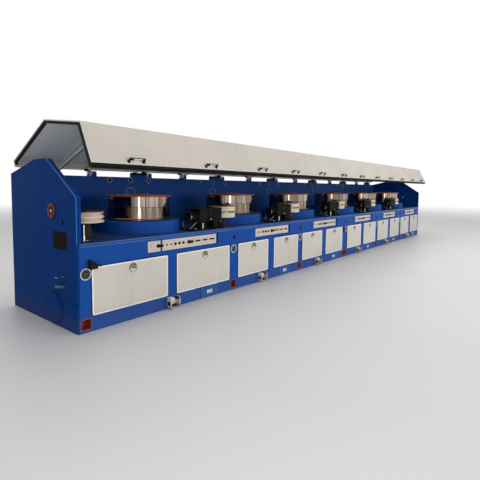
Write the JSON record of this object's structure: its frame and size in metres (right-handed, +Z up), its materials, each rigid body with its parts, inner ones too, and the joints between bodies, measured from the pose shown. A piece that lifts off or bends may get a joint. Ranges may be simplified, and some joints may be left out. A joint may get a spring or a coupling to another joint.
{
  "type": "straight-line wire drawing machine",
  "caption": "Long blue bed with steel capstan drums on round housings, die boxes, guide pulleys and door panels, under lift-up hoods hinged at the back wall.",
  "frame": {"origin": "middle of the bed's footprint on the floor", "axes": "+X along the line from the wire inlet to the outlet, +Y to the back wall, +Z up"},
  "size_m": [10.473, 1.6438, 1.9701],
  "materials": {
    "blue_paint": "gloss enamel",
    "cream_paint": "satin powder coat",
    "hood_paint": "satin powder coat",
    "black_paint": "semi-gloss enamel, oily",
    "dark_steel": "oiled, dark",
    "bright_steel": "bright plated",
    "drum_steel": "turned and polished",
    "flange_paint": "oxide red enamel",
    "pulley_paint": "hard coated, cream",
    "seal_rubber": "matt",
    "black_plastic": "moulded",
    "control_plate": "satin",
    "pocket_red": "orange-red enamel",
    "switch_housing": "cast, painted grey-beige"
  },
  "bodies": {
    "bed": {"bed_first_section": "blue_paint", "bed_second_section": "blue_paint", "table_first_section": "blue_paint", "table_second_section": "blue_paint", "back_wall_first_section": "blue_paint", "back_wall_second_section": "blue_paint", "end_panel_inlet": "blue_paint", "end_panel_outlet": "blue_paint", "doors_first_section": "cream_paint", "doors_second_section": "cream_paint", "door_pulls": "bright_steel", "control_plates": "control_plate", "controls": "black_plastic", "post_dials": "bright_steel", "jacking_pockets": "pocket_red", "foot_switches": "switch_housing", "drum_housings": "blue_paint", "die_boxes": "black_paint", "die_box_stands": "black_paint", "pulley_stands": "dark_steel", "wall_fittings": "bright_steel", "hinge_brackets": "blue_paint", "door_catch": "black_plastic", "end_covers": "blue_paint", "end_fittings": "flange_paint"},
    "hood_body_1": {"hood_1": "hood_paint", "hood_trim_1": "seal_rubber"},
    "drum_body_1": {"drum_1": "drum_steel", "drum_flange_1": "flange_paint"},
    "pulley_body_1": {"guide_pulley_1": "pulley_paint"},
    "hood_body_2": {"hood_2": "hood_paint", "hood_trim_2": "seal_rubber"},
    "drum_body_2": {"drum_2": "drum_steel", "drum_flange_2": "flange_paint"},
    "pulley_body_2": {"guide_pulley_2": "pulley_paint"},
    "hood_body_3": {"hood_3": "hood_paint", "hood_trim_3": "seal_rubber"},
    "drum_body_3": {"drum_3": "drum_steel", "drum_flange_3": "flange_paint"},
    "pulley_body_3": {"guide_pulley_3": "pulley_paint"},
    "hood_body_4": {"hood_4": "hood_paint", "hood_trim_4": "seal_rubber"},
    "drum_body_4": {"drum_4": "drum_steel", "drum_flange_4": "flange_paint"},
    "pulley_body_4": {"guide_pulley_4": "pulley_paint"},
    "hood_body_5": {"hood_5": "hood_paint", "hood_trim_5": "seal_rubber"},
    "drum_body_5": {"drum_5": "drum_steel", "drum_flange_5": "flange_paint"},
    "pulley_body_5": {"guide_pulley_5": "pulley_paint"},
    "hood_body_6": {"hood_6": "hood_paint", "hood_trim_6": "seal_rubber"},
    "drum_body_6": {"drum_6": "drum_steel", "drum_flange_6": "flange_paint"},
    "pulley_body_6": {"guide_pulley_6": "pulley_paint"}
  },
  "joints": [
    {"name": "hood_1_close", "type": "hinge", "parent": "bed", "child": "hood_body_1", "pos_m": [-4.1625, 0.66, 1.49], "axis": [1, 0, 0], "range_deg": [0, 26.5]},
    {"name": "hood_2_close", "type": "hinge", "parent": "bed", "child": "hood_body_2", "pos_m": [-2.3175, 0.66, 1.49], "axis": [1, 0, 0], "range_deg": [0, 26.5]},
    {"name": "hood_3_close", "type": "hinge", "parent": "bed", "child": "hood_body_3", "pos_m": [-0.6525, 0.66, 1.49], "axis": [1, 0, 0], "range_deg": [0, 26.5]},
    {"name": "hood_4_close", "type": "hinge", "parent": "bed", "child": "hood_body_4", "pos_m": [1.0125, 0.66, 1.49], "axis": [1, 0, 0], "range_deg": [0, 26.5]},
    {"name": "hood_5_close", "type": "hinge", "parent": "bed", "child": "hood_body_5", "pos_m": [2.6775, 0.66, 1.49], "axis": [1, 0, 0], "range_deg": [0, 26.5]},
    {"name": "hood_6_close", "type": "hinge", "parent": "bed", "child": "hood_body_6", "pos_m": [4.3425, 0.66, 1.49], "axis": [1, 0, 0], "range_deg": [0, 26.5]},
    {"name": "drum_1_spin", "type": "hinge", "parent": "bed", "child": "drum_body_1", "pos_m": [-4.11, -0.061, 0.952], "axis": [0, 0, 1], "continuous": true},
    {"name": "drum_2_spin", "type": "hinge", "parent": "bed", "child": "drum_body_2", "pos_m": [-2.47, -0.061, 0.952], "axis": [0, 0, 1], "continuous": true},
    {"name": "drum_3_spin", "type": "hinge", "parent": "bed", "child": "drum_body_3", "pos_m": [-0.83, -0.061, 0.952], "axis": [0, 0, 1], "continuous": true},
    {"name": "drum_4_spin", "type": "hinge", "parent": "bed", "child": "drum_body_4", "pos_m": [0.9, -0.061, 0.952], "axis": [0, 0, 1], "continuous": true},
    {"name": "drum_5_spin", "type": "hinge", "parent": "bed", "child": "drum_body_5", "pos_m": [2.54, -0.061, 0.952], "axis": [0, 0, 1], "continuous": true},
    {"name": "drum_6_spin", "type": "hinge", "parent": "bed", "child": "drum_body_6", "pos_m": [4.18, -0.061, 0.952], "axis": [0, 0, 1], "continuous": true},
    {"name": "guide_pulley_1_spin", "type": "hinge", "parent": "bed", "child": "pulley_body_1", "pos_m": [-4.97, -0.39, 0.932], "axis": [0, 0, 1], "continuous": true},
    {"name": "guide_pulley_2_spin", "type": "hinge", "parent": "bed", "child": "pulley_body_2", "pos_m": [-3.075, -0.46, 0.932], "axis": [0, 0, 1], "continuous": true},
    {"name": "guide_pulley_3_spin", "type": "hinge", "parent": "bed", "child": "pulley_body_3", "pos_m": [-1.435, -0.46, 0.932], "axis": [0, 0, 1], "continuous": true},
    {"name": "guide_pulley_4_spin", "type": "hinge", "parent": "bed", "child": "pulley_body_4", "pos_m": [0.295, -0.46, 0.932], "axis": [0, 0, 1], "continuous": true},
    {"name": "guide_pulley_5_spin", "type": "hinge", "parent": "bed", "child": "pulley_body_5", "pos_m": [1.935, -0.46, 0.932], "axis": [0, 0, 1], "continuous": true},
    {"name": "guide_pulley_6_spin", "type": "hinge", "parent": "bed", "child": "pulley_body_6", "pos_m": [3.575, -0.46, 0.932], "axis": [0, 0, 1], "continuous": true}
  ]
}
